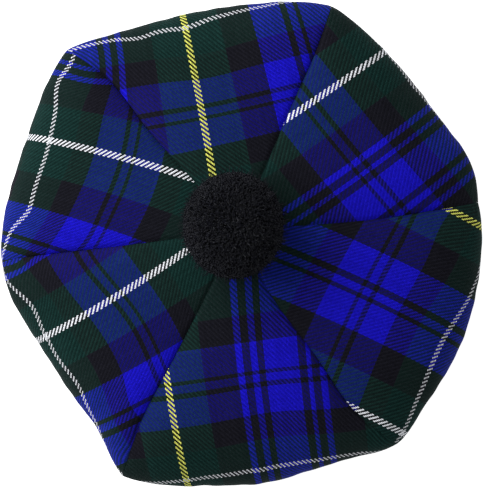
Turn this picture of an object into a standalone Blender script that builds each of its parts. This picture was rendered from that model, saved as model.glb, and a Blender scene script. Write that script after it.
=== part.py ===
"""A tam o' shanter: six cloth gores, a plain head band and a pompom, lying flat as seen from above.

Metres, +Z up. The hat stands on its band at z = 0. Looking straight down with +X to the right,
+Y is the back of the hat. Angles are in degrees, anticlockwise from +X, about the crown's apex.
"""

from collections import namedtuple

import bmesh
import bpy
import numpy as np
from mathutils import Vector, noise

MM = 0.001

# The cloth and the gap that neighbouring pieces keep.
CLOTH = 2.0 * MM
GAP = 0.3 * MM

# The crown's section: a low cone that rounds over at the rim and comes back under to the band. A
# high power keeps the rounding near the rim, and the cone's makes it a little domed at the apex.
APEX_HEIGHT = 64.0 * MM
RIM_HEIGHT = 27.0 * MM
SHOULDER_RISE = 18.0 * MM
SHOULDER_POWER = 8.0
CONE_POWER = 1.3
TIP_RADIUS = 1.5 * MM
UNDER_DROP = 9.0 * MM
UNDER_RISE_POWER = 1.5
JOIN_HEIGHT = 30.0 * MM

# How a rim's lift fades towards the apex, and how a panel's puff grows outward and ends at the rim.
LIFT_POWER = 3.0
PUFF_GROWTH = 1.5
PUFF_END = 6.0
PUFF_PEAK = 1.3

# The band is cloth doubled over a stiff core, round a head of about 58 cm.
BAND_INNER_RADIUS = 92.5 * MM
BAND_THICKNESS = 2.8 * MM
BAND_HEIGHT = 34.0 * MM
BAND_EDGE = 0.5 * MM
BAND_SIDES = 72

# The pompom: a ball of cut yarn, pressed flatter where it sits on the crown. Its locks are blunt
# tufts, whose tips are this share of their roots' width, with uneven roots and lengths.
POMPOM_RADIUS = 29.5 * MM
POMPOM_TOP = 28.0 * MM
POMPOM_TOP_POWER = 2.0
POMPOM_UNDER = 20.0 * MM
POMPOM_UNDER_POWER = 2.4
POMPOM_OFFSET = Vector((-2.6 * MM, 2.0 * MM, 0.0))
LOCK_LENGTH = 5.0 * MM
LOCK_VARIATION = 1.2 * MM
LOCK_TIP = 0.68
LOCK_JITTER = 0.07
LOCK_GRAIN = 9.0
LOCK_SEED = Vector((3.1, 7.4, 1.9))

# Mesh steps across a gore, from apex to rim, and from rim to band.
STEPS_ACROSS = 12
STEPS_TOP = 14
STEPS_UNDER = 9
OUTLINE_POINTS = 61
SHARP_ANGLE = 50.0

# A seam's angle and the depth of its valley, in mm, are given at these parts of the way from apex to
# rim, and its valley under the rim at half way back to the band. In mm too, its width is how far the
# valley reaches to each side, and its lift how much higher than usual the rim stands at its corner.
STATIONS = (0.2, 0.5, 0.8, 1.0)
UNDER_STATION = 1.5
BAND_STATION = 2.0
Seam = namedtuple("Seam", "name angles valleys under_valley width lift corner_radius")
SEAMS = (
    Seam("right", (3.0, 3.9, 5.4, 6.4), (0.8, 2.4, 3.8, 1.2), 1.2, 8.0, 0.0, 142.5),
    Seam("back_right", (66.0, 66.6, 66.4, 67.3), (0.8, 2.2, 3.4, 1.2), 1.2, 8.0, 2.0, 142.5),
    Seam("back_left", (132.4, 132.3, 130.8, 133.6), (0.8, 3.4, 6.5, 1.4), 2.0, 9.0, 3.0, 146.0),
    Seam("left", (188.9, 188.1, 187.5, 187.5), (0.8, 2.6, 4.6, 1.2), 1.4, 8.0, 0.0, 140.5),
    Seam("front_left", (244.3, 243.5, 243.1, 244.8), (0.8, 3.0, 6.0, 1.8), 2.0, 9.0, -2.0, 161.0),
    Seam("front_right", (295.0, 301.0, 302.6, 306.6), (0.8, 2.8, 5.4, 3.0), 2.0, 9.0, -1.0, 159.0),
)

# A gore lies between the seam of its own row and the next one. Its rim radii, in mm, are at sixths
# of the way between them. Puff is how far the middle of the panel stands out of a flat one, and sag
# how far the middle of its rim hangs below a straight one, in mm.
Gore = namedtuple("Gore", "name rim_radii puff sag colour")
GORES = (
    Gore("gore_back_right", (141.5, 135.5, 133.5, 134.5, 137.5), 4.2, 1.5, (0.012, 0.015, 0.20)),
    Gore("gore_back", (136.0, 131.0, 129.5, 130.5, 135.5), 3.6, 2.0, (0.014, 0.030, 0.13)),
    Gore("gore_back_left", (140.5, 136.0, 134.0, 135.0, 137.5), 3.8, 1.0, (0.018, 0.050, 0.07)),
    Gore("gore_front_left", (138.5, 135.0, 134.5, 137.5, 143.5), 4.0, 1.5, (0.016, 0.040, 0.10)),
    Gore("gore_front", (155.2, 150.5, 149.5, 147.5, 149.5), 4.8, 3.0, (0.012, 0.025, 0.15)),
    Gore("gore_front_right", (150.5, 148.0, 146.0, 144.0, 143.0), 4.6, 2.5, (0.012, 0.020, 0.17)),
)


def smooth_curve(at, stations, values):
    """A cubic through the values, which meets each with the mean slope of the stretches beside it."""
    stations = np.asarray(stations, float)
    values = np.asarray(values, float)
    slopes = np.gradient(values, stations)
    at = np.clip(at, stations[0], stations[-1])
    left = np.clip(np.searchsorted(stations, at, side="right") - 1, 0, len(stations) - 2)
    span = stations[left + 1] - stations[left]
    part = (at - stations[left]) / span
    start = (1 + 2 * part) * (1 - part) ** 2 * values[left]
    end = part**2 * (3 - 2 * part) * values[left + 1]
    lean_out = part * (1 - part) ** 2 * slopes[left] * span
    lean_in = part**2 * (1 - part) * slopes[left + 1] * span
    return start + end + lean_out - lean_in


def seams_of(index):
    """The two seams that a gore lies between."""
    return SEAMS[index], SEAMS[(index + 1) % len(SEAMS)]


def rim_radius(index, across):
    first, second = seams_of(index)
    radii = (first.corner_radius, *GORES[index].rim_radii, second.corner_radius)
    return smooth_curve(across, np.linspace(0, 1, len(radii)), radii) * MM


def gore_angle(index, across, outward, radius):
    """The angle, in radians, of a point that far across the gore, half a gap in from each seam."""
    first, second = seams_of(index)
    start = np.radians(smooth_curve(outward, STATIONS, first.angles))
    end = np.radians(smooth_curve(outward, STATIONS, second.angles))
    end = np.where(end < start, end + 2 * np.pi, end)
    inset = GAP / 2 / radius
    return start + inset + (end - start - 2 * inset) * across


def ray(angle):
    return np.stack([np.cos(angle), np.sin(angle)], axis=-1)


def rim_plan(index, across):
    radius = rim_radius(index, across)
    return radius[..., None] * ray(gore_angle(index, across, np.ones_like(across), radius))


def band_centre():
    """The middle of the crown's outline, where the band stands, from the apex."""
    across = np.linspace(0, 1, OUTLINE_POINTS)
    outline = np.concatenate([rim_plan(index, across) for index in range(len(GORES))])
    return (outline.min(axis=0) + outline.max(axis=0)) / 2


def band_plan(index, across, centre):
    """Points on the circle just outside the band that the gore's lower edge follows."""
    radius = BAND_INNER_RADIUS + BAND_THICKNESS + GAP
    ends = []
    for seam in seams_of(index):
        corner = seam.corner_radius * MM * ray(np.radians(seam.angles[-1])) - centre
        ends.append(np.arctan2(corner[1], corner[0]))
    start, end = ends
    end += 2 * np.pi if end < start else 0
    inset = GAP / 2 / radius
    return centre + radius * ray(start + inset + (end - start - 2 * inset) * across)


def rim_lift(index, across):
    """How much higher or lower than its usual height the rim runs, along the gore."""
    first, second = seams_of(index)
    straight = first.lift + (second.lift - first.lift) * across
    return (straight - GORES[index].sag * np.sin(np.pi * across)) * MM


def smooth_gore(index, centre):
    """A grid of points on the gore before its valleys and puff, and how far outward each row is.

    Rows run from the apex over the rim to the band, columns from one seam to the next. Outward is
    0 at the apex, 1 at the rim and 2 at the band.
    """
    across = np.linspace(0, 1, STEPS_ACROSS + 1)
    across = across - np.sin(2 * np.pi * across) / (4 * np.pi)
    radius = rim_radius(index, across)
    lift = rim_lift(index, across)
    rows = []
    top = 1 - (1 - np.arange(STEPS_TOP + 1) / STEPS_TOP) ** 2
    for step in top:
        outward = TIP_RADIUS / radius + (1 - TIP_RADIUS / radius) * step
        plan = (outward * radius)[:, None] * ray(gore_angle(index, across, outward, outward * radius))
        shoulder = SHOULDER_RISE * np.sqrt(np.clip(1 - outward**SHOULDER_POWER, 0, 1))
        cone = (APEX_HEIGHT - RIM_HEIGHT - SHOULDER_RISE) * (1 - outward**CONE_POWER)
        rows.append(np.column_stack([plan, RIM_HEIGHT + shoulder + cone + lift * outward**LIFT_POWER]))
    rim, band = rim_plan(index, across), band_plan(index, across, centre)
    reach = np.linalg.norm(rim - band, axis=1) / radius
    full_drop = UNDER_DROP * np.sqrt(1 - (1 - reach) ** SHOULDER_POWER)
    under = (np.arange(1, STEPS_UNDER + 1) / STEPS_UNDER) ** 2
    for inward in under:
        drop = UNDER_DROP * np.sqrt(1 - (1 - reach * inward) ** SHOULDER_POWER)
        rise = (JOIN_HEIGHT - RIM_HEIGHT + full_drop) * inward**UNDER_RISE_POWER
        height = RIM_HEIGHT - drop + rise + lift * (1 - inward)
        rows.append(np.column_stack([rim + (band - rim) * inward, height]))
    return np.stack(rows), np.concatenate([top, 1 + under])


def outward_normals(grid):
    along, beside = np.gradient(grid, axis=0), np.gradient(grid, axis=1)
    normals = np.cross(along, beside)
    return normals / np.linalg.norm(normals, axis=-1, keepdims=True)


def shared_normals(surfaces):
    """Each surface's outward normals, made the same on both sides of a seam so that its edges meet.

    The stretch is how much longer a step along a shared normal has to be to leave the same wall.
    """
    normals = [outward_normals(surface) for surface in surfaces]
    stretches = [np.ones(surface.shape[:2] + (1,)) for surface in surfaces]
    for index, mine in enumerate(normals):
        following = (index + 1) % len(normals)
        theirs = normals[following]
        shared = mine[:, -1] + theirs[:, 0]
        shared /= np.linalg.norm(shared, axis=1, keepdims=True)
        stretches[index][:, -1, 0] = 1 / np.sum(shared * mine[:, -1], axis=1)
        stretches[following][:, 0, 0] = 1 / np.sum(shared * theirs[:, 0], axis=1)
        mine[:, -1] = shared
        theirs[:, 0] = shared
    return normals, stretches


def relief(index, grid, outward):
    """How far the cloth stands out of the smooth gore: down in its seams' valleys, up in its puff."""
    steps = np.linalg.norm(np.diff(grid, axis=1), axis=2)
    from_first = np.concatenate([np.zeros((len(grid), 1)), np.cumsum(steps, axis=1)], axis=1)
    from_second = from_first[:, -1:] - from_first
    top = np.clip(outward, 0, 1)
    puff = GORES[index].puff * MM * PUFF_PEAK * top**PUFF_GROWTH * (1 - top**PUFF_END)
    lift = puff[:, None] * np.sin(np.pi * from_first / from_first[:, -1:])
    stations = (0, *STATIONS, UNDER_STATION, BAND_STATION)
    for seam, distance in zip(seams_of(index), (from_first, from_second)):
        depth = smooth_curve(outward, stations, (0, *seam.valleys, seam.under_valley, 0))
        lift -= depth[:, None] * MM * np.exp(-distance / (seam.width * MM))
    return lift


def shaped_gores(centre):
    """The gores' outer surfaces, with a valley along each seam and each panel puffed between them."""
    smooth = [smooth_gore(index, centre) for index in range(len(GORES))]
    normals, _ = shared_normals([grid for grid, _ in smooth])
    return [
        grid + normals[index] * relief(index, grid, outward)[..., None]
        for index, (grid, outward) in enumerate(smooth)
    ]


def add_object(name, bm, colour, roughness):
    mesh = bpy.data.meshes.new(name)
    bm.to_mesh(mesh)
    bm.free()
    mesh.shade_smooth()
    mesh.set_sharp_from_angle(angle=np.radians(SHARP_ANGLE))
    material = bpy.data.materials.new(name + "_cloth")
    material.use_nodes = True
    shader = material.node_tree.nodes["Principled BSDF"]
    shader.inputs["Base Color"].default_value = (*colour, 1)
    shader.inputs["Roughness"].default_value = roughness
    shader.inputs["Metallic"].default_value = 0
    mesh.materials.append(material)
    obj = bpy.data.objects.new(name, mesh)
    bpy.context.scene.collection.objects.link(obj)
    return obj


def add_quads(bm, rows, closed=False):
    """Faces between neighbouring rows of vertices. Closed rows join their last vertex to the first."""
    for row, following in zip(rows, rows[1:]):
        count = len(row)
        for i in range(count if closed else count - 1):
            j = (i + 1) % count
            bm.faces.new((row[i], row[j], following[j], following[i]))


def border(rows):
    """The vertices round the edge of a grid, in order."""
    right = [row[-1] for row in rows[1:-1]]
    left = [row[0] for row in rows[1:-1]]
    return rows[0] + right + rows[-1][::-1] + left[::-1]


def build_gore(index, surface, normals):
    bm = bmesh.new()
    outer = [[bm.verts.new(point) for point in row] for row in surface]
    inner = [[bm.verts.new(point) for point in row] for row in surface - CLOTH * normals]
    add_quads(bm, outer[::-1])
    add_quads(bm, inner)
    add_quads(bm, [border(outer), border(inner)], closed=True)
    return add_object(GORES[index].name, bm, GORES[index].colour, 0.9)


def build_band(centre):
    """A ring turned from the section of the folded cloth, with its edges softened."""
    inside, outside = BAND_INNER_RADIUS, BAND_INNER_RADIUS + BAND_THICKNESS
    section = (
        (inside + BAND_EDGE, 0),
        (outside - BAND_EDGE, 0),
        (outside, BAND_EDGE),
        (outside, BAND_HEIGHT - BAND_EDGE),
        (outside - BAND_EDGE, BAND_HEIGHT),
        (inside + BAND_EDGE, BAND_HEIGHT),
        (inside, BAND_HEIGHT - BAND_EDGE),
        (inside, BAND_EDGE),
    )
    bm = bmesh.new()
    rings = []
    for radius, height in section:
        plan = centre + radius * ray(np.linspace(0, 2 * np.pi, BAND_SIDES, endpoint=False))
        rings.append([bm.verts.new((x, y, height)) for x, y in plan])
    add_quads(bm, rings + rings[:1], closed=True)
    return add_object("head_band", bm, (0.010, 0.011, 0.014), 0.9)


def pompom_point(direction, shortening):
    """A point of the pompom's outer form, drawn in towards its middle by the shortening."""
    height, power = POMPOM_TOP, POMPOM_TOP_POWER
    if direction.z < 0:
        height, power = POMPOM_UNDER, POMPOM_UNDER_POWER
    beside = (direction.xy.length / POMPOM_RADIUS) ** power
    reach = (beside + (abs(direction.z) / height) ** power) ** (-1 / power)
    return direction * (reach - shortening)


def build_pompom():
    """Locks of cut yarn round a core: each is a blunt tuft on an uneven cell of five or six sides."""
    ball = bmesh.new()
    bmesh.ops.create_icosphere(ball, subdivisions=3, radius=1)
    bm = bmesh.new()
    roots = {}
    for face in ball.faces:
        root = face.calc_center_median().normalized()
        root = (root + LOCK_JITTER * noise.noise_vector(root * LOCK_GRAIN + LOCK_SEED)).normalized()
        roots[face] = (root, bm.verts.new(pompom_point(root, LOCK_LENGTH)))
    for vert in ball.verts:
        middle = vert.co.normalized()
        first = middle.orthogonal()
        second = middle.cross(first)
        cell = sorted(
            (roots[face] for face in vert.link_faces),
            key=lambda item: np.arctan2(item[0].dot(second), item[0].dot(first)),
        )
        shortening = LOCK_VARIATION * (1 + noise.noise(middle * LOCK_GRAIN + LOCK_SEED))
        tips = []
        for root, _ in cell:
            direction = middle.lerp(root, LOCK_TIP).normalized()
            tips.append(bm.verts.new(pompom_point(direction, shortening)))
        add_quads(bm, [[vertex for _, vertex in cell], tips], closed=True)
        bm.faces.new(tips)
    ball.free()
    lowest = min(vertex.co.z for vertex in bm.verts)
    seat = POMPOM_OFFSET + Vector((0, 0, APEX_HEIGHT + GAP - lowest))
    bmesh.ops.translate(bm, verts=bm.verts, vec=seat)
    return add_object("pompom", bm, (0.008, 0.008, 0.010), 1.0)


def centre_on_origin(objects):
    """Moves every mesh together, so that the whole outline is centred over the origin."""
    points = np.array([vertex.co for obj in objects for vertex in obj.data.vertices])
    middle = (points.min(axis=0) + points.max(axis=0)) / 2
    for obj in objects:
        for vertex in obj.data.vertices:
            vertex.co.x -= middle[0]
            vertex.co.y -= middle[1]


def main():
    for obj in list(bpy.data.objects):
        bpy.data.objects.remove(obj)
    centre = band_centre()
    surfaces = shaped_gores(centre)
    normals, stretches = shared_normals(surfaces)
    pieces = [build_gore(i, surfaces[i], normals[i] * stretches[i]) for i in range(len(GORES))]
    pieces.append(build_band(centre))
    pieces.append(build_pompom())
    centre_on_origin(pieces)


main()
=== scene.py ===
"""The looks of a tam o' shanter: woven tartan gores, a plain wool band and a cut-yarn pompom.

Metres, +Z up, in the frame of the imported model: the hat stands on its band at z = 0, and +Y is its
back. The crown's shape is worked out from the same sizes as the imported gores, on a finer grid.
Angles are in degrees, anticlockwise from +X, about the crown's apex.
"""

from collections import namedtuple

import bpy
import numpy as np
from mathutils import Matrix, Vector


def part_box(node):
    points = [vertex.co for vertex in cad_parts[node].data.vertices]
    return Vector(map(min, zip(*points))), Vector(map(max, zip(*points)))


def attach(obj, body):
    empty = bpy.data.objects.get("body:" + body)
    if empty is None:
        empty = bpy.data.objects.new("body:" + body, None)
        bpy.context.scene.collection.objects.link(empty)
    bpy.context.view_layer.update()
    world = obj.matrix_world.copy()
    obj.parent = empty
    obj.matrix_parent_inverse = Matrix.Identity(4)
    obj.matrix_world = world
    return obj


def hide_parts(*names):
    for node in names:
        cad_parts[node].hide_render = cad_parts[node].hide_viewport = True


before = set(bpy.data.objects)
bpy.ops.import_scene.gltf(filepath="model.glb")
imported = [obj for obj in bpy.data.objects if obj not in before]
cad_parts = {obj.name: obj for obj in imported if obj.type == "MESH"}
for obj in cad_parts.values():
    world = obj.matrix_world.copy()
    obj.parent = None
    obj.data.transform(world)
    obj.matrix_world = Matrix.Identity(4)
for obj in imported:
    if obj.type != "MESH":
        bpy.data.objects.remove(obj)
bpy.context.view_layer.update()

MM = 0.001

# ---- The crown's shape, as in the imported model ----

CLOTH = 2.0 * MM
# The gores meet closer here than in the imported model, because their cloth rolls down at the seams.
GAP = 0.1 * MM

# From the apex a low cone runs out to a round shoulder over the rim. Under the rim the cloth drops
# round and rises again to its join with the band.
APEX_HEIGHT = 64.0 * MM
RIM_HEIGHT = 27.0 * MM
SHOULDER_RISE = 18.0 * MM
SHOULDER_POWER = 8.0
CONE_POWER = 1.3
TIP_RADIUS = 1.5 * MM
UNDER_DROP = 9.0 * MM
UNDER_RISE_POWER = 1.5
JOIN_HEIGHT = 30.0 * MM
LIFT_POWER = 3.0
PUFF_GROWTH = 1.5
PUFF_END = 6.0
PUFF_PEAK = 1.3

BAND_INNER_RADIUS = 92.5 * MM
BAND_THICKNESS = 2.8 * MM
BAND_HEIGHT = 34.0 * MM

# A seam's angles and valley depths, in mm, are given at these parts of the way from apex to rim, and
# one more depth at the station under the rim. The valley's width, the rim's lift at the seam and
# the radius of the corner there are in mm too.
STATIONS = (0.2, 0.5, 0.8, 1.0)
UNDER_STATION = 1.5
BAND_STATION = 2.0
Seam = namedtuple("Seam", "name angles valleys under_valley width lift corner_radius")
SEAMS = (
    Seam("right", (3.0, 3.9, 5.4, 6.4), (0.8, 2.4, 3.8, 1.2), 1.2, 8.0, 0.0, 142.5),
    Seam("back_right", (66.0, 66.6, 66.4, 67.3), (0.8, 2.2, 3.4, 1.2), 1.2, 8.0, 2.0, 142.5),
    Seam("back_left", (132.4, 132.3, 130.8, 133.6), (0.8, 3.4, 6.5, 1.4), 2.0, 9.0, 3.0, 146.0),
    Seam("left", (188.9, 188.1, 187.5, 187.5), (0.8, 2.6, 4.6, 1.2), 1.4, 8.0, 0.0, 140.5),
    Seam("front_left", (244.3, 243.5, 243.1, 244.8), (0.8, 3.0, 6.0, 1.8), 2.0, 9.0, -2.0, 161.0),
    Seam("front_right", (295.0, 301.0, 302.6, 306.6), (0.8, 2.8, 5.4, 3.0), 2.0, 9.0, -1.0, 159.0),
)

# A gore lies between the seam of its own row and the next one. Its rim radii, in mm, are at sixths
# of the way between them. In mm too are its puff, which is how full it is, and how far its rim sags.
Gore = namedtuple("Gore", "name rim_radii puff sag")
GORES = (
    Gore("gore_back_right", (141.5, 135.5, 133.5, 134.5, 137.5), 4.2, 1.5),
    Gore("gore_back", (136.0, 131.0, 129.5, 130.5, 135.5), 3.6, 2.0),
    Gore("gore_back_left", (140.5, 136.0, 134.0, 135.0, 137.5), 3.8, 1.0),
    Gore("gore_front_left", (138.5, 135.0, 134.5, 137.5, 143.5), 4.0, 1.5),
    Gore("gore_front", (155.2, 150.5, 149.5, 147.5, 149.5), 4.8, 3.0),
    Gore("gore_front_right", (150.5, 148.0, 146.0, 144.0, 143.0), 4.6, 2.5),
)

# ---- How finely the cloth is modelled ----

STEPS_ACROSS = 96
STEPS_TOP = 84
STEPS_UNDER = 36
OUTLINE_POINTS = 61
SHARP_ANGLE = 50.0

# Along each seam the cloth rolls down into the stitching, which draws it in between the stitches.
ROLL_DEPTH = 0.8 * MM
ROLL_WIDTH = 1.5 * MM
ROLL_FADE = 0.12
PUCKER_DEPTH = 0.28 * MM
PUCKER_LENGTH = 7.0 * MM
PUCKER_REACH = 6.0 * MM

# Soft unevenness of the cloth between the seams: two waves that cross aslant. At the rim another
# wave runs along it. Where the cloth joins the band, at each gore's foot, it has small gathers.
RIPPLE_HEIGHT = 0.45 * MM
RIPPLE_LENGTH = 26.0 * MM
CROSS_RIPPLE_LENGTH = 33.8 * MM
RIPPLE_SLANT = 0.4
CROSS_RIPPLE_SLANT = 0.3
RIM_WAVE_HEIGHT = 0.3 * MM
RIM_WAVE_LENGTH = 19.0 * MM
GATHER_HEIGHT = 0.6 * MM
GATHER_LENGTH = 11.0 * MM
GATHER_REACH = 0.35
GORE_FOOT = 100.0 * MM

# An uneven wave is the sum of three: how fast each runs, how strong it is, and how far a step of
# the seed moves it.
WAVE_PARTS = ((1.0, 1.0, 1.0), (1.618, 0.7, 2.3), (0.554, 0.6, 4.1))

# Inside, each seam's allowances are pressed open: how many steps of the grid they reach to each
# side, the row where they start near the apex, their thickness and their gap to the gores. They
# thin towards the seam by a part of their thickness, within a part of their reach.
ALLOWANCE_COLUMNS = 11
ALLOWANCE_START = 4
ALLOWANCE_THICK = 1.2 * MM
ALLOWANCE_GAP = 0.1 * MM
ALLOWANCE_THINNING = 0.6
ALLOWANCE_THIN_REACH = 0.12

# How the flat UV map of a closed sheet is laid out: its outer face above, its inner face below, and
# its edge in a strip between them.
FACE_HEIGHT = 0.48
OUTER_FACE_FROM = 0.52
EDGE_FROM = 0.485
EDGE_TO = 0.515

# The band's ring: its sides, its rounded corners, the points of each corner and of its outer wall,
# and how far it strays from a true ring half way up.
BAND_SIDES = 288
BAND_CORNER = 1.3 * MM
BAND_CORNER_POINTS = 6
BAND_WALL_POINTS = 12
BAND_WOBBLE = 0.25 * MM
BAND_WOBBLE_LENGTH = 40.0 * MM

# ---- The weave: a 2/2 twill, whose warp runs out from the apex and whose weft runs across ----

END = 0.655 * MM
PICK = 0.757 * MM
TWILL_REPEAT = 4.0

# Threads of each colour in one repeat of the check, counted anticlockwise across the gore for the
# warp and outward for the weft. The weft counts are smaller because its threads lie further apart.
WARP_SETT = (
    "B6 K6 B6 K6 B30 K6 B6 K6 B6 K30 G30 W6 G30 K30 "
    "B28 K6 B6 K6 B28 K30 G29 Y7 G30 K30"
)
WEFT_SETT = (
    "B21 K4 B5 K4 B21 K20 G20 W5 G20 K20 "
    "B4 K4 B5 K4 B21 K4 B5 K4 B4 K20 G44 K20"
)
# The colour of cloth woven of one yarn alone, and how strongly the painted light and shade of its
# ridged twill shows.
Yarn = namedtuple("Yarn", "red green blue ridges")
YARNS = {
    "B": Yarn(0.0085, 0.0060, 0.425, 0.30),
    "G": Yarn(0.0050, 0.0205, 0.0180, 0.60),
    "K": Yarn(0.0072, 0.0072, 0.0110, 0.40),
    "W": Yarn(0.90, 0.93, 0.98, 0.30),
    "Y": Yarn(0.74, 0.77, 0.15, 0.30),
}

# Where two dark yarns cross, the cloth looks less blue and more green than their mean, so each part
# of their colours is mixed as a root of its own power. The warp has one share of the mix where it
# is under and another where it is over. A yarn is bright if its root of red is over BRIGHT_RED, and
# where a bright yarn crosses any other, only the upper one shows.
MIX_POWERS = (2.2, 0.4, 4.0)
BRIGHT_RED = 0.3
WARP_SHARE_UNDER = 0.40
WARP_SHARE_OVER = 0.72

# Painted light and shade on the twill: where the warp is on top it stands out of the weft in a ridge,
# which is painted lighter, and the weft between is painted darker. Each float is painted lighter along
# its middle and darker towards its edges and ends, as shade between the threads, and deeper on bright
# yarns. No two threads are quite the same. Tones are in pairs, from the darkest to the lightest.
RIDGE_SHADING_TONES = (0.50, 1.40)
FLOAT_SHADING_TONES = (0.78, 1.05)
BRIGHT_FLOAT_SHADING_TONES = (0.02, 1.02)
THREAD_TONES = (0.86, 1.14)
# The powers of the height of a warp's float and of a weft's, which falls away more to its ends.
FLOAT_POWERS = (0.5, 1.0)
# What keeps a pick's tone apart from that of the end with the same number.
PICK_TONE_OFFSET = 0.37

# Noise in the wool's tone: its scale in waves to a metre, its detail and its tones.
Speckle = namedtuple("Speckle", "scale detail tones")
TARTAN_FIBRES = Speckle(2600.0, 2.0, (0.75, 1.25))
TARTAN_CLUMPS = Speckle(620.0, 2.0, (0.70, 1.30))
TARTAN_PATCHES = Speckle(45.0, 3.0, (0.90, 1.10))
BAND_FIBRES = Speckle(2600.0, 2.0, (0.70, 1.30))
YARN_FIBRES = Speckle(3200.0, 2.0, (0.60, 1.40))

# The plain wool of the band and the pompom: its darkest and lightest colours. On the band a tone of
# 1 is BAND_MIX of the way between them.
BAND_THREAD_TONES = (0.85, 1.15)
# Each band float is painted lighter along its middle and darker at its edges, as shade between
# threads.
BAND_FLOAT_SHADING_TONES = (0.5, 1.1)
BAND_MIX = 0.5
BAND_COLOURS = ((0.006, 0.006, 0.008, 1), (0.030, 0.030, 0.036, 1))
YARN_COLOURS = ((0.0009, 0.0010, 0.0017, 1), (0.0050, 0.0053, 0.0090, 1))

# What the shader takes as it is. Fuzz is how much the fibres add to the height of the floats.
Finish = namedtuple("Finish", "roughness specular sheen sheen_roughness tint relief strength fuzz")
TARTAN_FINISH = Finish(0.75, 0.02, 0.01, 0.45, (1, 1, 1, 1), 0.25 * MM, 0.5, 0.3)
BAND_FINISH = Finish(0.85, 0.20, 0.10, 0.50, (1, 1, 1, 1), 0.25 * MM, 0.6, 0.4)
YARN_FINISH = Finish(0.95, 0.03, 0.10, 0.50, (0.90, 0.93, 1.0, 1), 0.15 * MM, 0.6, 1.0)

# How the cloth lies on each gore. The axis is the warp's direction, in degrees. One of the thin
# lines of the warp passes the apex at an offset, in mm, anticlockwise, and the white line of the
# weft crosses the axis at white_row mm of cloth from the apex. The cloth isn't quite true: its weft
# slants by skew and bends outward by bow mm at BOW_REACH mm from the axis. SLACK_REACH mm from the
# row at SLACK_AT mm its warp is bent by curve mm, and it closes up by fan towards the apex, or
# spreads there where that is negative. The pull is how far it is stretched lengthwise. Between the
# apex and the white line the weft sags inward, by sag mm on the axis and by twist mm more
# TWIST_REACH mm anticlockwise of it. SAG_PEAK brings the height of that curve to 1.
Lay = namedtuple("Lay", "axis line offset white_row skew bow curve fan pull sag twist")
LAYS = (
    Lay(36.1, "W", 33.0, 141.0, -0.060, 3.5, 3.5, -0.06, 1.12, 6.0, 0.6),
    Lay(101.7, "Y", 6.0, 126.3, -0.035, 3.5, 2.1, -0.13, 1.02, 2.6, -3.0),
    Lay(165.0, "W", -23.0, 120.5, 0.110, 18.5, 6.0, -0.13, 0.92, -2.4, -3.0),
    Lay(210.0, "W", -2.0, 131.3, -0.050, 5.5, -5.5, -0.07, 0.94, 0.0, 0.0),
    Lay(277.5, "Y", -52.0, 144.2, -0.010, 2.5, 5.2, -0.07, 1.06, 0.1, -1.6),
    Lay(334.0, "W", -64.6, 139.3, 0.032, 6.6, -5.4, -0.01, 1.04, 1.4, 0.9),
)
SLACK_AT = 100.0
SLACK_REACH = 100.0
BOW_REACH = 70.0
TWIST_REACH = 50.0
SAG_POWER = 3.0
SAG_PEAK = 9.5
GIRTH_PULL = 0.985

# Where the cloth isn't true round one place, at an angle and a radius in mm, over a reach in mm: its
# weft is drawn inward there by the pull, and its warp clockwise by the shift, both in mm.
Tuck = namedtuple("Tuck", "gore angle radius reach pull shift", defaults=(0.0,))
TUCKS = (
    Tuck("gore_back_right", 39.0, 133.0, 12.0, 1.5),
    Tuck("gore_back", 100.5, 98.0, 20.0, 2.4),
    Tuck("gore_back", 105.0, 124.0, 11.0, 2.6),
    Tuck("gore_back", 117.0, 128.0, 11.0, 3.2),
    Tuck("gore_back", 128.5, 128.0, 18.0, 0.0, 2.8),
    Tuck("gore_back_left", 132.0, 143.0, 20.0, 10.5),
    Tuck("gore_back_left", 133.0, 128.0, 16.0, 0.0, -4.2),
    Tuck("gore_back_left", 133.0, 118.0, 14.0, 4.0),
    Tuck("gore_back_left", 141.0, 136.0, 10.0, -3.4),
    Tuck("gore_back_left", 175.0, 121.0, 10.0, 3.0),
    Tuck("gore_back_left", 181.0, 133.0, 9.0, -1.8),
    Tuck("gore_back_left", 183.5, 88.0, 14.0, 2.2),
    Tuck("gore_front_left", 188.5, 130.0, 7.0, 0.0, -2.2),
    Tuck("gore_front_left", 195.0, 98.0, 20.0, -1.8),
    Tuck("gore_front_left", 224.0, 82.0, 28.0, 3.4),
    Tuck("gore_front_left", 238.0, 122.0, 14.0, -4.0),
    Tuck("gore_front_left", 192.0, 140.0, 10.0, -3.0),
    Tuck("gore_front_left", 200.5, 127.5, 13.0, 4.4),
    Tuck("gore_front_left", 215.5, 129.0, 9.0, -1.1),
    Tuck("gore_front_left", 224.0, 130.0, 9.0, 1.9),
    Tuck("gore_front_left", 238.0, 146.0, 16.0, -3.0),
    Tuck("gore_front_left", 241.5, 152.0, 9.0, -4.5),
    Tuck("gore_front", 280.0, 115.0, 28.0, 2.8),
    Tuck("gore_front", 304.0, 154.0, 10.0, -4.0),
    Tuck("gore_front_right", 332.0, 137.0, 20.0, 1.9),
    Tuck("gore_front_right", 2.0, 117.0, 18.0, 3.5),
    Tuck("gore_front_right", 346.0, 142.0, 26.0, -2.5),
    Tuck("gore_front_right", 309.5, 152.0, 26.0, -2.2),
)

# ---- The pompom ----

# Its outer form reaches this far beside, above and below its middle, and each half is rounded with
# a power of its own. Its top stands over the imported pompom's by a gap.
POMPOM_RADIUS = 29.5 * MM
POMPOM_TOP = 28.0 * MM
POMPOM_TOP_POWER = 2.0
POMPOM_UNDER = 20.0 * MM
POMPOM_UNDER_POWER = 2.4
POMPOM_TOP_GAP = 1.2 * MM
# How much further it reaches towards the front and the back than to its sides.
POMPOM_LONGER = 1.7 * MM
LUMP_HEIGHT = 0.9 * MM
LUMP_LENGTH = 17.0 * MM

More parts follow.
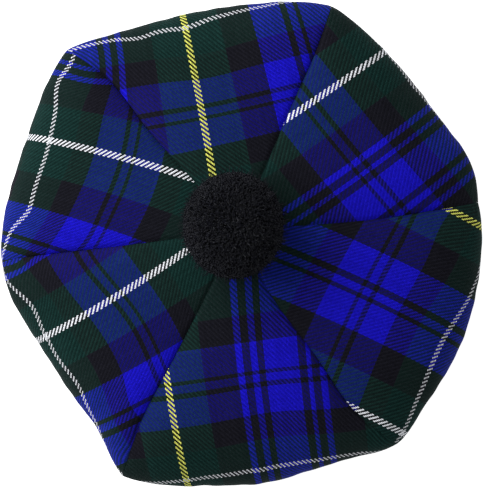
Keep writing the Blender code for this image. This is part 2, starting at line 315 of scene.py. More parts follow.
# The cut yarns end a little short of that form, unevenly, and their tips lean to all sides.
YARN_COUNT = 12200
YARN_SIDES = 3
YARN_LENGTH = 8.0 * MM
YARN_RADIUS = 0.50 * MM
YARN_SHORTER = 0.3 * MM
YARN_UNEVEN = 1.1 * MM
YARN_LEAN = 0.9 * MM
YARN_WIDTHS = (0.8, 1.25)
YARN_SHADES = (0.25, 1.0)
YARN_SEED = 11
DIRECTION_JITTER = 0.7

# Fine fibres that stand out past the cut ends and soften the pompom's edge.
WISP_COUNT = 1700
WISP_REACH = 4.0 * MM
WISP_WIDTH = 0.34
WISP_LEAN = 2.2

# Rings of a yarn from root to tip: how far along it is, its width and its tone. The tone is painted
# shade, darker towards the root, where the other yarns shade it.
YARN_RINGS = ((0.0, 0.7, 0.1), (0.6, 1.05, 0.5), (1.0, 0.9, 1.1))

# The core, in the yarn's darkest colour as painted shade deep among the yarns: how far it lies under
# the yarns' ends, and its rows and sides.
CORE_SINK = 5.0 * MM
CORE_ROWS = 24
CORE_SIDES = 48

# ---- Camera, light and floor ----

PHOTO_SPAN = 282.4 * MM
CAMERA_DISTANCE = 3.0
SENSOR = 36.0
FLOOR_SIZE = 6.0
FLOOR_COLOUR = (0.80, 0.80, 0.80, 1)
FLOOR_GLOW = 0.85
SKY_STRENGTH = 0.48
LAMP_POWER = 64.0
LAMP_SIZE = 2.0
LAMP_PLACE = (-1.35, 0.72, 1.08)
LAMP_AIM = (0, 0, 0.04)


def smooth_curve(at, stations, values):
    """A cubic through the values, which meets each with the mean slope of the stretches beside it."""
    stations = np.asarray(stations, float)
    values = np.asarray(values, float)
    slopes = np.gradient(values, stations)
    at = np.clip(at, stations[0], stations[-1])
    left = np.clip(np.searchsorted(stations, at, side="right") - 1, 0, len(stations) - 2)
    span = stations[left + 1] - stations[left]
    part = (at - stations[left]) / span
    start = (1 + 2 * part) * (1 - part) ** 2 * values[left]
    end = part**2 * (3 - 2 * part) * values[left + 1]
    lean_out = part * (1 - part) ** 2 * slopes[left] * span
    lean_in = part**2 * (1 - part) * slopes[left + 1] * span
    return start + end + lean_out - lean_in


def seams_of(index):
    """The two seams that a gore lies between."""
    return SEAMS[index], SEAMS[(index + 1) % len(SEAMS)]


def rim_radius(index, across):
    first, second = seams_of(index)
    radii = (first.corner_radius, *GORES[index].rim_radii, second.corner_radius)
    return smooth_curve(across, np.linspace(0, 1, len(radii)), radii) * MM


def gore_angle(index, across, outward, radius):
    """The angle, in radians, of a point that far across the gore, half a gap in from each seam."""
    first, second = seams_of(index)
    start = np.radians(smooth_curve(outward, STATIONS, first.angles))
    end = np.radians(smooth_curve(outward, STATIONS, second.angles))
    end = np.where(end < start, end + 2 * np.pi, end)
    inset = GAP / 2 / radius
    return start + inset + (end - start - 2 * inset) * across


def ray(angle):
    return np.stack([np.cos(angle), np.sin(angle)], axis=-1)


def rim_plan(index, across):
    radius = rim_radius(index, across)
    return radius[..., None] * ray(gore_angle(index, across, np.ones_like(across), radius))


def band_centre():
    """The middle of the crown's outline, where the band stands, from the apex."""
    across = np.linspace(0, 1, OUTLINE_POINTS)
    outline = np.concatenate([rim_plan(index, across) for index in range(len(GORES))])
    return (outline.min(axis=0) + outline.max(axis=0)) / 2


def band_plan(index, across, centre):
    """Points on the circle just outside the band that the gore's lower edge follows."""
    radius = BAND_INNER_RADIUS + BAND_THICKNESS + GAP
    ends = []
    for seam in seams_of(index):
        corner = seam.corner_radius * MM * ray(np.radians(seam.angles[-1])) - centre
        ends.append(np.arctan2(corner[1], corner[0]))
    start, end = ends
    end += 2 * np.pi if end < start else 0
    inset = GAP / 2 / radius
    return centre + radius * ray(start + inset + (end - start - 2 * inset) * across)


def rim_lift(index, across):
    """How much higher or lower than its usual height the rim runs, along the gore."""
    first, second = seams_of(index)
    straight = first.lift + (second.lift - first.lift) * across
    return (straight - GORES[index].sag * np.sin(np.pi * across)) * MM


def smooth_gore(index, centre):
    """A grid of points on the gore before its valleys and puff, and how far outward each row is.

    Rows run from the apex over the rim to the band, columns from one seam to the next. Outward is
    0 at the apex, 1 at the rim and 2 at the band.
    """
    # Columns stand closer together beside the seams, and rows near the rim.
    across = np.linspace(0, 1, STEPS_ACROSS + 1)
    across = across - np.sin(2 * np.pi * across) / (4 * np.pi)
    radius = rim_radius(index, across)
    lift = rim_lift(index, across)
    rows = []
    top = 1 - (1 - np.arange(STEPS_TOP + 1) / STEPS_TOP) ** 2
    for step in top:
        outward = TIP_RADIUS / radius + (1 - TIP_RADIUS / radius) * step
        angle = gore_angle(index, across, outward, outward * radius)
        plan = (outward * radius)[:, None] * ray(angle)
        shoulder = SHOULDER_RISE * np.sqrt(np.clip(1 - outward**SHOULDER_POWER, 0, 1))
        cone = (APEX_HEIGHT - RIM_HEIGHT - SHOULDER_RISE) * (1 - outward**CONE_POWER)
        height = RIM_HEIGHT + shoulder + cone + lift * outward**LIFT_POWER
        rows.append(np.column_stack([plan, height]))
    rim, band = rim_plan(index, across), band_plan(index, across, centre)
    reach = np.linalg.norm(rim - band, axis=1) / radius
    full_drop = UNDER_DROP * np.sqrt(1 - (1 - reach) ** SHOULDER_POWER)
    under = (np.arange(1, STEPS_UNDER + 1) / STEPS_UNDER) ** 2
    for inward in under:
        drop = UNDER_DROP * np.sqrt(1 - (1 - reach * inward) ** SHOULDER_POWER)
        rise = (JOIN_HEIGHT - RIM_HEIGHT + full_drop) * inward**UNDER_RISE_POWER
        height = RIM_HEIGHT - drop + rise + lift * (1 - inward)
        rows.append(np.column_stack([rim + (band - rim) * inward, height]))
    return np.stack(rows), np.concatenate([top, 1 + under])


def outward_normals(grid):
    along, beside = np.gradient(grid, axis=0), np.gradient(grid, axis=1)
    normals = np.cross(along, beside)
    return normals / np.linalg.norm(normals, axis=-1, keepdims=True)


def shared_normals(surfaces):
    """Each surface's outward normals, made the same on both sides of a seam so that its edges meet."""
    normals = [outward_normals(surface) for surface in surfaces]
    for index, mine in enumerate(normals):
        theirs = normals[(index + 1) % len(normals)]
        shared = mine[:, -1] + theirs[:, 0]
        shared /= np.linalg.norm(shared, axis=1, keepdims=True)
        mine[:, -1] = shared
        theirs[:, 0] = shared
    return normals


def seam_distances(grid):
    """How far each point is from the gore's two seams, along the cloth."""
    steps = np.linalg.norm(np.diff(grid, axis=1), axis=2)
    from_first = np.concatenate([np.zeros((len(grid), 1)), np.cumsum(steps, axis=1)], axis=1)
    return from_first, from_first[:, -1:] - from_first


def relief(index, grid, outward):
    """How far the cloth stands out of the smooth gore: down in its seams' valleys, up in its puff."""
    from_first, from_second = seam_distances(grid)
    top = np.clip(outward, 0, 1)
    puff = GORES[index].puff * MM * PUFF_PEAK * top**PUFF_GROWTH * (1 - top**PUFF_END)
    lift = puff[:, None] * np.sin(np.pi * from_first / from_first[:, -1:])
    stations = (0, *STATIONS, UNDER_STATION, BAND_STATION)
    for seam, distance in zip(seams_of(index), (from_first, from_second)):
        depth = smooth_curve(outward, stations, (0, *seam.valleys, seam.under_valley, 0))
        lift -= depth[:, None] * MM * np.exp(-distance / (seam.width * MM))
    return lift


def meridians(grid):
    """How far each point is from the apex, along the cloth."""
    steps = np.linalg.norm(np.diff(grid, axis=0), axis=2)
    return TIP_RADIUS + np.concatenate([np.zeros((1, grid.shape[1])), np.cumsum(steps, axis=0)])


def waves(at, length, seed):
    """An uneven wave of about that length between -1 and 1, the same for the same seed."""
    turns = 2 * np.pi * at / length
    total = sum(strength * np.sin(pace * turns + shift * seed) for pace, strength, shift in WAVE_PARTS)
    return total / sum(strength for _, strength, _ in WAVE_PARTS)


def fine_relief(index, grid, outward):
    """The rolls and puckers along the seams, the cloth's ripples, and its gathers at the band."""
    from_first, from_second = seam_distances(grid)
    along = meridians(grid)
    share = from_first / from_first[:, -1:]
    between = np.sin(np.pi * share)
    x, y = grid[..., 0], grid[..., 1]
    ripple = waves(x + RIPPLE_SLANT * y, RIPPLE_LENGTH, index + 1.0)
    ripple *= waves(y - CROSS_RIPPLE_SLANT * x, CROSS_RIPPLE_LENGTH, 2.0 * index + 0.7)
    lift = RIPPLE_HEIGHT * ripple * between * np.clip(outward, 0, 1)[:, None]
    off_rim = 1 - np.exp(-(((outward - 1) / ROLL_FADE) ** 2))[:, None]
    rim_wave = waves(from_first, RIM_WAVE_LENGTH, index + 3.0)
    lift += RIM_WAVE_HEIGHT * rim_wave * between * (1 - off_rim)
    for side, distance in enumerate((from_first, from_second)):
        seam = (index + side) % len(SEAMS)
        lift -= ROLL_DEPTH * off_rim * np.exp(-((distance / ROLL_WIDTH) ** 2))
        fade = np.exp(-distance / PUCKER_REACH) * (1 - np.exp(-distance / ROLL_WIDTH))
        lift += PUCKER_DEPTH * waves(along, PUCKER_LENGTH, 3.0 * seam + side) * fade
    near_band = np.clip(1 - (BAND_STATION - outward) / GATHER_REACH, 0, 1)[:, None] ** 2
    return lift + GATHER_HEIGHT * waves(share * GORE_FOOT, GATHER_LENGTH, index + 5.0) * near_band


Panel = namedtuple("Panel", "surface normals threads")


def panels(centre, shift):
    """Each gore's outer surface in place with all its relief, the normals of its smooth form, and
    the numbers of the threads at each of its points."""
    smooth = [smooth_gore(index, centre) for index in range(len(GORES))]
    normals = shared_normals([grid for grid, _ in smooth])
    made = []
    for index, (grid, outward) in enumerate(smooth):
        lift = relief(index, grid, outward) + fine_relief(index, grid, outward)
        surface = grid + normals[index] * lift[..., None]
        threads = weave_threads(index, surface, meridians(grid))
        made.append(Panel(surface + (*shift, 0), normals[index], threads))
    return made


def sett_counts(sett):
    """The sett as (yarn, threads) pairs."""
    return [(item[0], int(item[1:])) for item in sett.split()]


def thread_of(sett, yarn):
    """The middle of a yarn's stripe, in threads from the repeat's start."""
    at = 0
    for name, count in sett_counts(sett):
        if name == yarn:
            return at + count / 2
        at += count
    return None


def weave_threads(index, surface, along):
    """The numbers of the end and the pick at each point of a gore."""
    lay = LAYS[index]
    axis = np.radians(lay.axis)
    plan = surface[..., :2] / MM
    across = np.cos(axis) * plan[..., 1] - np.sin(axis) * plan[..., 0]
    angle = np.arctan2(plan[..., 1], plan[..., 0])
    rim = STEPS_TOP
    outward = along / MM * np.cos(angle - axis)
    past_rim = (along[rim + 1:] - along[rim]) / MM
    outward[rim + 1:] = outward[rim] + past_rim * np.cos(angle[rim] - axis)
    from_middle = (outward - SLACK_AT) / SLACK_REACH
    bent = across - lay.offset - lay.curve * from_middle**2 - lay.fan * from_middle * across
    row = outward - lay.white_row - lay.skew * across - lay.bow * (across / BOW_REACH) ** 2
    part = np.clip(outward / lay.white_row, 0, 1)
    row += (lay.sag + lay.twist * across / TWIST_REACH) * SAG_PEAK * part**SAG_POWER * (1 - part)
    for tuck in TUCKS:
        if tuck.gore == GORES[index].name:
            away = np.linalg.norm(plan - tuck.radius * ray(np.radians(tuck.angle)), axis=-1)
            fade = np.exp(-((away / tuck.reach) ** 2))
            row += tuck.pull * fade
            bent += tuck.shift * fade
    ends = bent * MM / (END * GIRTH_PULL) + thread_of(WARP_SETT, lay.line)
    picks = row * MM / (PICK * lay.pull) + thread_of(WEFT_SETT, "W")
    return np.stack([ends, picks], axis=-1)


def grid_quads(rows, columns):
    """Faces of a grid of vertices, as indices, which face the side that the outer surfaces face."""
    index = np.arange(rows * columns).reshape(rows, columns)
    corners = (index[1:, :-1], index[1:, 1:], index[:-1, 1:], index[:-1, :-1])
    return np.stack(corners, axis=-1).reshape(-1, 4)


def border_indices(rows, columns):
    """The vertices round the edge of a grid, in order."""
    index = np.arange(rows * columns).reshape(rows, columns)
    return np.concatenate([index[0], index[1:-1, -1], index[-1, ::-1], index[1:-1, 0][::-1]])


def add_piece(name, points, faces, material):
    """A smooth-shaded piece that rides on the hat, in the material that it is given."""
    mesh = bpy.data.meshes.new(name)
    mesh.from_pydata(points.tolist(), [], faces.tolist())
    mesh.shade_smooth()
    mesh.set_sharp_from_angle(angle=np.radians(SHARP_ANGLE))
    mesh.materials.append(material)
    obj = bpy.data.objects.new(name, mesh)
    bpy.context.scene.collection.objects.link(obj)
    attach(obj, "root")
    return obj


def add_uv(mesh, name, values):
    layer = mesh.uv_layers.new(name=name)
    layer.data.foreach_set("uv", np.asarray(values, np.float32).ravel())


def add_cloth(name, outer, inner, threads, material):
    """A closed sheet between two surfaces, with its thread numbers in one UV map and a flat one."""
    rows, columns = outer.shape[:2]
    count = rows * columns
    outside = grid_quads(rows, columns)
    inside = outside[:, ::-1] + count
    edge = border_indices(rows, columns)
    following = np.roll(edge, -1)
    wall = np.stack([edge, following, following + count, edge + count], axis=-1)
    faces = np.concatenate([outside, inside, wall])
    points = np.concatenate([outer.reshape(-1, 3), inner.reshape(-1, 3)])
    obj = add_piece(name, points, faces, material)
    add_uv(obj.data, "Weave", threads.reshape(-1, 2)[faces.ravel() % count])
    row, column = np.divmod(np.arange(count), columns)
    flat = np.column_stack([column / (columns - 1), row / (rows - 1)])
    outside_uv = flat[outside.ravel()] * (1, FACE_HEIGHT) + (0, OUTER_FACE_FROM)
    inside_uv = flat[inside.ravel() - count] * (1, FACE_HEIGHT)
    step = np.arange(len(edge)) / len(edge)
    next_step = step + 1 / len(edge)
    low, high = np.full(len(edge), EDGE_FROM), np.full(len(edge), EDGE_TO)
    wall_uv = np.stack([step, low, next_step, low, next_step, high, step, high], axis=-1)
    add_uv(obj.data, "OFBake", np.concatenate([outside_uv, inside_uv, wall_uv.reshape(-1, 2)]))
    return obj


def build_gore(index, panel, material):
    obj = add_cloth(
        GORES[index].name + "_cloth",
        panel.surface,
        panel.surface - CLOTH * panel.normals,
        panel.threads,
        material,
    )
    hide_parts(GORES[index].name)


def near_seam(before, after):
    """The part of two gores' grids that a seam's allowances lie under, joined into one."""
    left = before[ALLOWANCE_START:, -ALLOWANCE_COLUMNS:]
    right = after[ALLOWANCE_START:, :ALLOWANCE_COLUMNS]
    return np.concatenate([left, right], axis=1)


def build_allowance(index, before, panel, material):
    """The two gores' cloth past a seam, pressed open under it inside the hat."""
    beside = ALLOWANCE_COLUMNS
    normals = near_seam(before.normals, panel.normals)
    threads = near_seam(before.threads, panel.threads)
    from_seam = np.abs(np.arange(2 * beside) - (beside - 0.5)) / beside
    thinning = ALLOWANCE_THINNING * np.exp(-from_seam / ALLOWANCE_THIN_REACH)
    thick = ALLOWANCE_THICK * (1 - thinning)[None, :, None]
    outer = near_seam(before.surface, panel.surface) - (CLOTH + ALLOWANCE_GAP) * normals
    name = "seam_allowance_" + SEAMS[index].name
    obj = add_cloth(name, outer, outer - thick * normals, threads, material)


class Shading:
    """The nodes of one material, added with short calls."""

    def __init__(self, name):
        self.material = bpy.data.materials.new(name)
        self.material.use_nodes = True
        self.tree = self.material.node_tree
        self.shader = self.tree.nodes["Principled BSDF"]

    def node(self, kind, inputs=(), **settings):
        """A node with its settings, and its inputs by name: a value, or another node's output."""
        node = self.tree.nodes.new(kind)
        for name, value in settings.items():
            setattr(node, name, value)
        for key, value in dict(inputs).items():
            self.feed(node.inputs[key], value)
        return node

    def feed(self, socket, value):
        if isinstance(value, bpy.types.NodeSocket):
            self.tree.links.new(value, socket)
        else:
            socket.default_value = value

    def math(self, operation, *values):
        return self.node("ShaderNodeMath", enumerate(values), operation=operation).outputs[0]

    def mix(self, factor, first, second, **settings):
        inputs = {"Factor": factor, "A": first, "B": second}
        return self.node("ShaderNodeMix", inputs, **settings).outputs["Result"]

    def blend(self, kind, factor, first, second):
        """Two colours, blended."""
        return self.mix(factor, first, second, data_type="RGBA", blend_type=kind)

    def number(self, factor, first, second):
        """A number that part of the way from the first to the second."""
        return self.mix(factor, first, second, data_type="FLOAT")

    def multiply(self, first, *others):
        for other in others:
            first = self.math("MULTIPLY", first, other)
        return first

    def speckle(self, kind):
        """Noise all through the piece, and the tone that it gives."""
        place = self.node("ShaderNodeTexCoord").outputs["Object"]
        inputs = {"Vector": place, "Scale": kind.scale, "Detail": kind.detail}
        noise = self.node("ShaderNodeTexNoise", inputs).outputs["Fac"]
        return noise, self.number(noise, *kind.tones)

    def uneven(self, thread, tones):
        """A tone of its own for each thread."""
        noise = self.node("ShaderNodeTexWhiteNoise", {"W": thread}, noise_dimensions="1D")
        return self.number(noise.outputs["Value"], *tones)

    def finish(self, colour, fibres, look, height=None):
        inputs = self.shader.inputs
        self.feed(inputs["Base Color"], colour)
        inputs["Roughness"].default_value = look.roughness
        inputs["Specular IOR Level"].default_value = look.specular
        inputs["Sheen Weight"].default_value = look.sheen
        inputs["Sheen Roughness"].default_value = look.sheen_roughness
        inputs["Sheen Tint"].default_value = look.tint
        relief = self.multiply(fibres, look.fuzz)
        if height is not None:
            relief = self.math("ADD", height, relief)
        bump = self.node("ShaderNodeBump", {
            "Height": relief, "Distance": look.relief, "Strength": look.strength})
        self.feed(inputs["Normal"], bump.outputs["Normal"])
        return self.material


def stripes(shading, thread, sett):
    """The roots of a thread's colour and how strongly the painted light and shade of its ridged twill
    shows, from its place in the repeat.
    """
    counts = sett_counts(sett)
    repeat = sum(count for _, count in counts)
    middle = shading.math("ADD", thread, 0.5)
    place = shading.math("FRACT", shading.math("DIVIDE", middle, float(repeat)))
    node = shading.node("ShaderNodeValToRGB", {"Fac": place})
    ramp = node.color_ramp
    ramp.interpolation = "CONSTANT"
    at = 0
    for number, (yarn, count) in enumerate(counts):
        stop = ramp.elements[number] if number < 2 else ramp.elements.new(at / repeat)
        stop.position = at / repeat
        roots = [part ** (1 / power) for part, power in zip(YARNS[yarn], MIX_POWERS)]
        stop.color = (*roots, YARNS[yarn].ridges)
        at += count
    return node.outputs["Color"], node.outputs["Alpha"]


def twill(shading):
    """The parts of a 2/2 twill: thread numbers, whether the warp is on top, and the floats' height.

    Each thread passes over two and under two, and each next one starts one thread further on. So an
    end is on top where it is 0 or 1 threads past the pick, in a repeat of four.
    """
    uv = shading.node("ShaderNodeUVMap", uv_map="Weave").outputs["UV"]
    threads = shading.node("ShaderNodeSeparateXYZ", {"Vector": uv})
    across, along = threads.outputs["X"], threads.outputs["Y"]
    end, pick = shading.math("FLOOR", across), shading.math("FLOOR", along)
    end_part, pick_part = shading.math("FRACT", across), shading.math("FRACT", along)
    step = shading.math("FLOORED_MODULO", shading.math("SUBTRACT", end, pick), TWILL_REPEAT)
    warp_on_top = shading.math("LESS_THAN", step, 1.5)
    # How far along its float each yarn is, from where it comes up.
    from_end = shading.math("ADD", shading.math("SUBTRACT", along, end), 1.0)
    from_pick = shading.math("SUBTRACT", shading.math("SUBTRACT", across, pick), 2.0)
    heights = []
    for part, start, power in zip((end_part, pick_part), (from_end, from_pick), FLOAT_POWERS):
        over = shading.math("FLOORED_MODULO", start, TWILL_REPEAT)
        round_yarn = shading.math("SINE", shading.multiply(part, np.pi))
        arch = shading.math("MAXIMUM", shading.math("SINE", shading.multiply(over, np.pi / 2)), 0.0)
        heights.append(shading.math("POWER", shading.multiply(round_yarn, arch), power))
    height = shading.number(warp_on_top, heights[1], heights[0])
    return end, pick, warp_on_top, height


def tartan_material():
    shading = Shading("tartan_wool")
    end, pick, warp_on_top, height = twill(shading)
    warp, warp_ridge_shading = stripes(shading, end, WARP_SETT)
    weft, weft_ridge_shading = stripes(shading, pick, WEFT_SETT)

    def parts_of(colour):
        return shading.node("ShaderNodeSeparateColor", {"Color": colour}).outputs

    reddest = shading.math("MAXIMUM", parts_of(warp)["Red"], parts_of(weft)["Red"])
    bright = shading.math("GREATER_THAN", reddest, BRIGHT_RED)
    soft_share = shading.number(warp_on_top, WARP_SHARE_UNDER, WARP_SHARE_OVER)
    share = shading.number(bright, soft_share, warp_on_top)
    mixed = parts_of(shading.blend("MIX", share, weft, warp))
    powers = zip(("Red", "Green", "Blue"), MIX_POWERS)
    parts = {name: shading.math("POWER", mixed[name], power) for name, power in powers}
    colour = shading.node("ShaderNodeCombineColor", parts).outputs["Color"]
    thread = shading.number(warp_on_top, shading.math("ADD", pick, PICK_TONE_OFFSET), end)
    fibres, fibre_tone = shading.speckle(TARTAN_FIBRES)
    # The shade also holds painted light and shade: each float darker at its edges, the raised warp
    # lighter.
    float_shading_ends = [shading.number(bright, *tones) for tones in zip(FLOAT_SHADING_TONES, BRIGHT_FLOAT_SHADING_TONES)]
    # The raised warp is painted lighter and the weft between it darker, as light and shade on the
    # twill.
    ridges = shading.number(share, weft_ridge_shading, warp_ridge_shading)
    shade = shading.multiply(
        shading.uneven(thread, THREAD_TONES),
        fibre_tone,
        shading.speckle(TARTAN_PATCHES)[1],
        shading.speckle(TARTAN_CLUMPS)[1],
        shading.number(height, *float_shading_ends),
        shading.number(ridges, 1.0, shading.number(warp_on_top, *RIDGE_SHADING_TONES)),
    )
    tone = shading.node("ShaderNodeCombineColor", {"Red": shade, "Green": shade, "Blue": shade})
    colour = shading.blend("MULTIPLY", 1.0, colour, tone.outputs["Color"])
    return shading.finish(colour, fibres, TARTAN_FINISH, height)


def band_material():
    shading = Shading("band_wool")
    end, _, _, height = twill(shading)
    fibres, fibre_tone = shading.speckle(BAND_FIBRES)
    # The shade holds painted shade too: each float darker towards its edges.
    shade = shading.multiply(
        shading.uneven(end, BAND_THREAD_TONES),
        shading.number(height, *BAND_FLOAT_SHADING_TONES),
        fibre_tone,
        BAND_MIX,
    )
    colour = shading.blend("MIX", shade, *BAND_COLOURS)
    return shading.finish(colour, fibres, BAND_FINISH, height)


def yarn_material():
    shading = Shading("pompom_yarn")
    shade = shading.node("ShaderNodeAttribute", attribute_name="shade").outputs["Fac"]
    fibres, fibre_tone = shading.speckle(YARN_FIBRES)
    colour = shading.blend("MIX", shading.multiply(shade, fibre_tone), *YARN_COLOURS)
    return shading.finish(colour, fibres, YARN_FINISH)


def band_section():
    """The outline of the band's folded cloth, as radii and heights, with rounded corners."""
    inside, outside = BAND_INNER_RADIUS, BAND_INNER_RADIUS + BAND_THICKNESS
    low, high = BAND_CORNER, BAND_HEIGHT - BAND_CORNER
    near, far = inside + BAND_CORNER, outside - BAND_CORNER
    quarter = np.radians(np.linspace(0, 90, BAND_CORNER_POINTS))
    corners = ((far, high), (near, high), (near, low), (far, low))
    points = []
    for turns, middle in enumerate(corners):
        points.append(middle + BAND_CORNER * ray(quarter + turns * np.pi / 2))
    part = np.linspace(0, 1, BAND_WALL_POINTS)[1:-1, None]
    wall = points[-1][-1] * (1 - part) + points[0][0] * part
    return np.concatenate([*points, wall])


def build_band(centre, shift, material):
    """A ring turned from the section of folded cloth, a little uneven."""
    section = band_section()
    outside = BAND_INNER_RADIUS + BAND_THICKNESS
    closed = np.vstack([section, section[:1]])
    along = np.concatenate([[0], np.cumsum(np.linalg.norm(np.diff(closed, axis=0), axis=1))])
    turn = np.linspace(0, 2 * np.pi, BAND_SIDES, endpoint=False)
    wobble = BAND_WOBBLE * waves(turn * outside, BAND_WOBBLE_LENGTH, 2.0)
    points = []
    for radius, height in section:
        uneven = wobble * 4 * (height / BAND_HEIGHT) * (1 - height / BAND_HEIGHT)
        ring = centre + (radius + uneven)[:, None] * ray(turn) + shift
        points.append(np.column_stack([ring, np.full(BAND_SIDES, height)]))
    rows = len(section)
    index = np.arange(rows * BAND_SIDES).reshape(rows, BAND_SIDES)
    below, beside = np.roll(index, -1, axis=0), np.roll(index, -1, axis=1)
    below_beside = np.roll(below, -1, axis=1)
    faces = np.stack([index, below, below_beside, beside], axis=-1).reshape(-1, 4)
    obj = add_piece("head_band_cloth", np.concatenate(points), faces, material)
    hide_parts("head_band")
    ends = np.arange(BAND_SIDES + 1) / BAND_SIDES * 2 * np.pi * outside / END
    threads = np.stack(np.meshgrid(ends, along / END), axis=-1)
    corners = [threads[:-1, :-1], threads[1:, :-1], threads[1:, 1:], threads[:-1, 1:]]
    add_uv(obj.data, "Weave", np.stack(corners, axis=2))


def pompom_reach(directions):
    """How far the pompom's outer form reaches from its middle in each direction."""
    low = directions[:, 2] < 0
    height = np.where(low, POMPOM_UNDER, POMPOM_TOP)
    power = np.where(low, POMPOM_UNDER_POWER, POMPOM_TOP_POWER)
    beside = np.linalg.norm(directions[:, :2], axis=1) / POMPOM_RADIUS
    return (beside**power + (np.abs(directions[:, 2]) / height) ** power) ** (-1 / power)


def even_directions(count, rng):
    """Directions spread evenly over a ball, with some jitter."""
    place = np.arange(count) + 0.5
    height = 1 - 2 * place / count
    turn = np.pi * (1 + np.sqrt(5)) * place
    ring = np.sqrt(1 - height**2)
    directions = np.column_stack([ring[:, None] * ray(turn), height])
    directions += rng.normal(0, DIRECTION_JITTER / np.sqrt(count), directions.shape)
    return directions / np.linalg.norm(directions, axis=1, keepdims=True)


def build_pompom(material):
    """Short cut yarns that stand out all round a dark core. Each is a leaning three-sided strand."""
    low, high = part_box("pompom")
    height = high.z + POMPOM_TOP_GAP - POMPOM_TOP
    middle = np.array([(low.x + high.x) / 2, (low.y + high.y) / 2, height])
    rng = np.random.default_rng(YARN_SEED)
    directions = np.concatenate([even_directions(YARN_COUNT, rng), even_directions(WISP_COUNT, rng)])
    count = YARN_COUNT + WISP_COUNT
    is_wisp = np.arange(count) >= YARN_COUNT
    reach = pompom_reach(directions) - YARN_SHORTER - rng.uniform(0, YARN_UNEVEN, count)
    lumps = waves(directions[:, 0] * POMPOM_RADIUS, LUMP_LENGTH, 1.0)
    lumps *= waves(directions[:, 1] * POMPOM_RADIUS, LUMP_LENGTH, 2.0)
    reach += LUMP_HEIGHT * lumps + is_wisp * rng.uniform(0, WISP_REACH, count)
    reach += POMPOM_LONGER * directions[:, 1] ** 2
    # Two directions square to each yarn, from any that it isn't nearly in line with.
    helper = np.where(np.abs(directions[:, 2:]) < 0.9, (0, 0, 1), (1, 0, 0))
    first = np.cross(directions, helper)
    first /= np.linalg.norm(first, axis=1, keepdims=True)
    second = np.cross(directions, first)
    lean = rng.normal(0, YARN_LEAN, (count, 2)) * np.where(is_wisp, WISP_LEAN, 1.0)[:, None]
    spin = rng.uniform(0, 2 * np.pi, count)
    size = YARN_RADIUS * rng.uniform(*YARN_WIDTHS, count) * np.where(is_wisp, WISP_WIDTH, 1.0)
    shade = rng.uniform(*YARN_SHADES, count)
    points, tones = [], []
    # Each ring's tone is painted shade, darker towards the yarn's root.
    for part, width, tone in YARN_RINGS:
        axis = middle + directions * (reach - YARN_LENGTH * (1 - part))[:, None]
        axis += (first * lean[:, :1] + second * lean[:, 1:]) * part**2
        for corner in range(YARN_SIDES):
            angle = spin + corner * 2 * np.pi / YARN_SIDES
            out = first * np.cos(angle)[:, None] + second * np.sin(angle)[:, None]
            points.append(axis + out * (size * width)[:, None])
            tones.append(shade * tone)
    each = YARN_SIDES * len(YARN_RINGS)
    triangles = []
    for ring in range(len(YARN_RINGS) - 1):
        for corner in range(YARN_SIDES):
            beside = (corner + 1) % YARN_SIDES
            here, there = ring * YARN_SIDES, (ring + 1) * YARN_SIDES
            triangles.append((here + corner, here + beside, there + beside))
            triangles.append((here + corner, there + beside, there + corner))
    # The yarn's two ends.
    triangles.append((2, 1, 0))
    triangles.append((each - 3, each - 2, each - 1))
    faces = (np.array(triangles)[None] + np.arange(count)[:, None, None] * each).reshape(-1, 3)
    points = np.stack(points, axis=1).reshape(-1, 3)
    obj = add_piece("pompom_yarns", points, faces, material)
    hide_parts("pompom")
    # The shade attribute is each yarn's own tone times the painted shade of its rings.
    attribute = obj.data.attributes.new("shade", "FLOAT", "POINT")
    attribute.data.foreach_set("value", np.stack(tones, axis=1).astype(np.float32).ravel())
    build_core(middle, material)


def build_core(middle, material):
    """The pompom's heart, where the yarns' roots stand: its darkest colour is painted shade."""
    turn = np.linspace(0, 2 * np.pi, CORE_SIDES, endpoint=False)
    points = []
    for height in np.cos(np.linspace(0, np.pi, CORE_ROWS + 2)[1:-1]):
        ring = np.sqrt(1 - height**2)
        directions = np.column_stack([ring * ray(turn), np.full(CORE_SIDES, height)])
        points.append(middle + directions * (pompom_reach(directions) - CORE_SINK)[:, None])
    count = CORE_ROWS * CORE_SIDES
    points.append([middle + (0, 0, POMPOM_TOP - CORE_SINK), middle + (0, 0, CORE_SINK - POMPOM_UNDER)])
    index = np.arange(count).reshape(CORE_ROWS, CORE_SIDES)
    beside = np.roll(index, -1, axis=1)
    upper, lower = (index[:-1], beside[:-1]), (index[1:], beside[1:])
    top, bottom = np.full(CORE_SIDES, count), np.full(CORE_SIDES, count + 1)
    faces = np.concatenate([
        np.stack([upper[0], lower[0], lower[1]], axis=-1).reshape(-1, 3),
        np.stack([upper[0], lower[1], upper[1]], axis=-1).reshape(-1, 3),
        np.stack([top, index[0], beside[0]], axis=-1),
        np.stack([index[-1], bottom, beside[-1]], axis=-1),
    ])
    add_piece("pompom_core", np.concatenate(points), faces, material)


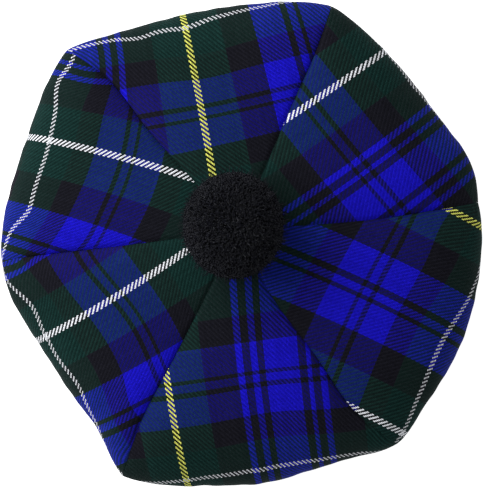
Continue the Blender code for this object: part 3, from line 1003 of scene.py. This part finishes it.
def add_floor():
    bpy.ops.mesh.primitive_plane_add(size=FLOOR_SIZE, location=(0, 0, 0))
    floor = bpy.context.object
    floor.name = "floor"
    material = bpy.data.materials.new("pale_floor")
    material.use_nodes = True
    shader = material.node_tree.nodes["Principled BSDF"]
    shader.inputs["Base Color"].default_value = FLOOR_COLOUR
    shader.inputs["Roughness"].default_value = 1.0
    shader.inputs["Specular IOR Level"].default_value = 0.0
    shader.inputs["Emission Color"].default_value = (1, 1, 1, 1)
    shader.inputs["Emission Strength"].default_value = FLOOR_GLOW
    floor.data.materials.append(material)


def add_lights():
    world = bpy.data.worlds.new("studio")
    bpy.context.scene.world = world
    world.use_nodes = True
    background = world.node_tree.nodes["Background"]
    background.inputs["Color"].default_value = (1, 1, 1, 1)
    background.inputs["Strength"].default_value = SKY_STRENGTH
    light = bpy.data.lights.new("window", "AREA")
    light.energy = LAMP_POWER
    light.size = LAMP_SIZE
    lamp = bpy.data.objects.new("window", light)
    bpy.context.scene.collection.objects.link(lamp)
    lamp.location = LAMP_PLACE
    aim = Vector(LAMP_AIM) - lamp.location
    lamp.rotation_euler = aim.to_track_quat("-Z", "Y").to_euler()


def add_camera():
    """Straight above the hat, so far that the rim's plane fills the picture as in the photograph."""
    camera = bpy.data.cameras.new("camera")
    camera.sensor_fit = "HORIZONTAL"
    camera.sensor_width = SENSOR
    camera.lens = SENSOR * (CAMERA_DISTANCE - RIM_HEIGHT) / PHOTO_SPAN
    eye = bpy.data.objects.new("camera", camera)
    bpy.context.scene.collection.objects.link(eye)
    eye.location = (0, 0, CAMERA_DISTANCE)
    bpy.context.scene.camera = eye


def build_hat():
    centre = band_centre()
    low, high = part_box("head_band")
    shift = np.array([(low.x + high.x) / 2, (low.y + high.y) / 2]) - centre
    tartan = tartan_material()
    made = panels(centre, shift)
    for index, panel in enumerate(made):
        build_gore(index, panel, tartan)
        build_allowance(index, made[index - 1], panel, tartan)
    build_band(centre, shift, band_material())
    build_pompom(yarn_material())


for leftover in ("Cube", "Light", "Camera"):
    if leftover in bpy.data.objects:
        bpy.data.objects.remove(bpy.data.objects[leftover])
build_hat()
add_floor()
add_lights()
add_camera()
bpy.context.scene.view_settings.view_transform = "Standard"
